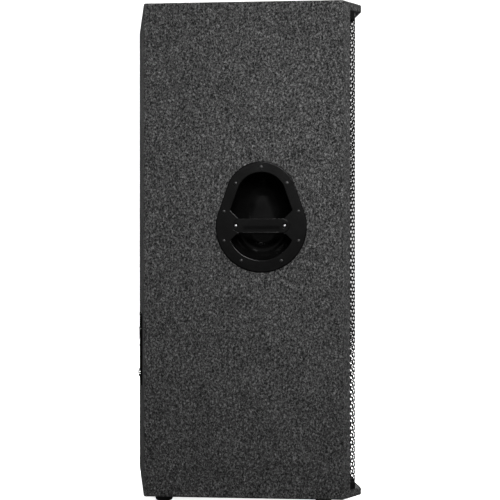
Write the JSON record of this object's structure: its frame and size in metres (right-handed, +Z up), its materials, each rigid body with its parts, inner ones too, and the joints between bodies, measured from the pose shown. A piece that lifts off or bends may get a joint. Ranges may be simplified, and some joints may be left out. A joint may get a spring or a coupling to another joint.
{
  "type": "upright loudspeaker cabinet",
  "caption": "Tall carpet-covered loudspeaker cabinet, narrower at the rear, with a perforated steel grille between projecting lips, recessed side handles and rubber feet.",
  "frame": {"origin": "on the floor, under the middle of the bounding box", "axes": "+Z up, -Y the front (grille) side, +X to the right of someone facing the front"},
  "size_m": [0.4992, 0.5, 1.135],
  "materials": {
    "carpet": "matte",
    "plywood": "matte",
    "black_painted_wood": "matte",
    "grille_steel": "satin",
    "connector_plate_steel": "satin",
    "cast_frame": "satin",
    "cone_paper": "matte",
    "surround_cloth": "matte",
    "spider_cloth": "matte",
    "coil_aluminium": "satin",
    "ferrite": "matte",
    "plated_steel": "satin",
    "horn_plastic": "matte",
    "diaphragm_titanium": "satin",
    "port_plastic": "matte",
    "handle_plastic": "satin",
    "socket_plastic": "satin",
    "nickel": "satin",
    "circuit_board": "satin",
    "copper": "gloss",
    "capacitor_sleeve": "gloss",
    "foot_rubber": "matte",
    "cable_sleeve": "satin",
    "wadding": "matte"
  },
  "bodies": {
    "root": {"bottom_panel": "plywood", "capacitor": "capacitor_sleeve", "carpet_cover": "carpet", "connector_plate": "connector_plate_steel", "cross_brace": "plywood", "crossover_board": "circuit_board", "damping_pad_lower": "wadding", "damping_pad_upper": "wadding", "driver_cover": "horn_plastic", "driver_magnet": "ferrite", "driver_pole_plate": "plated_steel", "driver_top_plate": "plated_steel", "foot_front_left": "foot_rubber", "foot_front_right": "foot_rubber", "foot_rear_left": "foot_rubber", "foot_rear_right": "foot_rubber", "front_baffle": "black_painted_wood", "grille": "grille_steel", "grille_batten_bottom": "black_painted_wood", "grille_batten_top": "black_painted_wood", "handle_bar_left": "handle_plastic", "handle_bar_right": "handle_plastic", "handle_cup_left": "handle_plastic", "handle_cup_right": "handle_plastic", "horn_flare": "horn_plastic", "inductor_large": "copper", "inductor_small": "copper", "jack_nut_left": "nickel", "jack_nut_right": "nickel", "jack_socket_left": "socket_plastic", "jack_socket_right": "socket_plastic", "port_left": "port_plastic", "port_right": "port_plastic", "rear_panel": "plywood", "side_panel_left": "plywood", "side_panel_right": "plywood", "spider_lower": "spider_cloth", "spider_upper": "spider_cloth", "surround_lower": "surround_cloth", "surround_upper": "surround_cloth", "top_panel": "plywood", "twist_lock_socket_left": "socket_plastic", "twist_lock_socket_right": "socket_plastic", "wiring_harness": "cable_sleeve", "woofer_back_plate_lower": "plated_steel", "woofer_back_plate_upper": "plated_steel", "woofer_frame_lower": "cast_frame", "woofer_frame_upper": "cast_frame", "woofer_magnet_lower": "ferrite", "woofer_magnet_upper": "ferrite", "woofer_top_plate_lower": "plated_steel", "woofer_top_plate_upper": "plated_steel"},
    "cone_assembly_lower": {"woofer_cone_lower": "cone_paper", "dust_cap_lower": "cone_paper", "voice_coil_lower": "coil_aluminium"},
    "cone_assembly_upper": {"woofer_cone_upper": "cone_paper", "dust_cap_upper": "cone_paper", "voice_coil_upper": "coil_aluminium"},
    "diaphragm": {"driver_diaphragm": "diaphragm_titanium"}
  },
  "joints": [
    {"name": "cone_slide_lower", "type": "slide", "parent": "root", "child": "cone_assembly_lower", "axis": [0, -1, 0], "range_m": [-0.006, 0.006], "stiffness_N_per_m": 3000, "deforming": ["surround_lower", "spider_lower"]},
    {"name": "cone_slide_upper", "type": "slide", "parent": "root", "child": "cone_assembly_upper", "axis": [0, -1, 0], "range_m": [-0.006, 0.006], "stiffness_N_per_m": 3000, "deforming": ["surround_upper", "spider_upper"]},
    {"name": "diaphragm_slide", "type": "slide", "parent": "root", "child": "diaphragm", "axis": [0, -1, 0], "range_m": [-0.0004, 0.0004], "stiffness_N_per_m": 20000}
  ]
}
